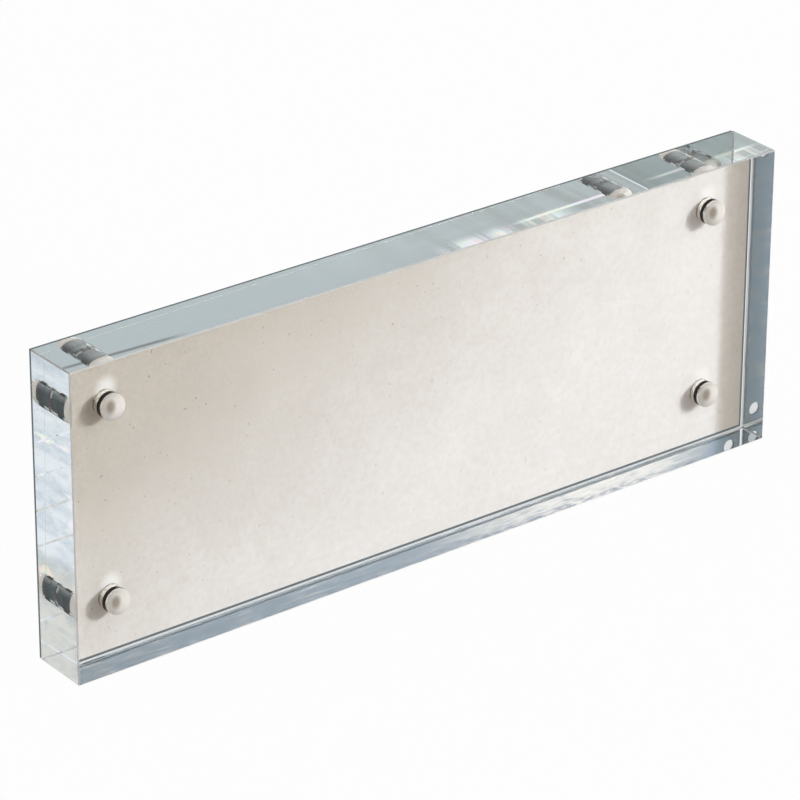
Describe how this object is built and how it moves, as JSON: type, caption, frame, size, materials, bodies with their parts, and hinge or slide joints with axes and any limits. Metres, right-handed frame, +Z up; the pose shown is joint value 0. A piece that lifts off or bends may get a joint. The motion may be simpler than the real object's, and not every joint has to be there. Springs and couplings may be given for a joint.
{
  "type": "acrylic block frame",
  "caption": "Thick clear acrylic block that shows an insert card laid against its back, held by a magnetic steel back plate; stands on its long edge or fixes to a wall by the plate.",
  "frame": {"origin": "centre of the bottom of the whole part's box, on the surface that it stands on", "axes": "+Z up, +X to the right along the long edge seen from the front, +Y to the back, so the display face looks along -Y"},
  "size_m": [0.254, 0.0198, 0.0965],
  "materials": {
    "clear_acrylic": "clear, polished on every face",
    "nickel_plate": "bright nickel plating",
    "dark_adhesive": "dark cured adhesive",
    "cream_paper": "mottled cream paper",
    "steel_plate": "satin blue-grey steel"
  },
  "bodies": {
    "block": {"acrylic_block": "clear_acrylic", "magnet_top_left": "nickel_plate", "magnet_top_right": "nickel_plate", "magnet_bottom_left": "nickel_plate", "magnet_bottom_right": "nickel_plate", "bond_ring_top_left": "dark_adhesive", "bond_ring_top_right": "dark_adhesive", "bond_ring_bottom_left": "dark_adhesive", "bond_ring_bottom_right": "dark_adhesive"},
    "card": {"insert_card": "cream_paper"},
    "plate": {"back_plate": "steel_plate"}
  },
  "joints": [
    {"name": "plate_pull", "type": "slide", "parent": "block", "child": "plate", "axis": [0, 1, 0], "range_m": [0, 0.04]},
    {"name": "card_lift", "type": "slide", "parent": "block", "child": "card", "axis": [0, 0, 1], "range_m": [0, 0.09]}
  ]
}
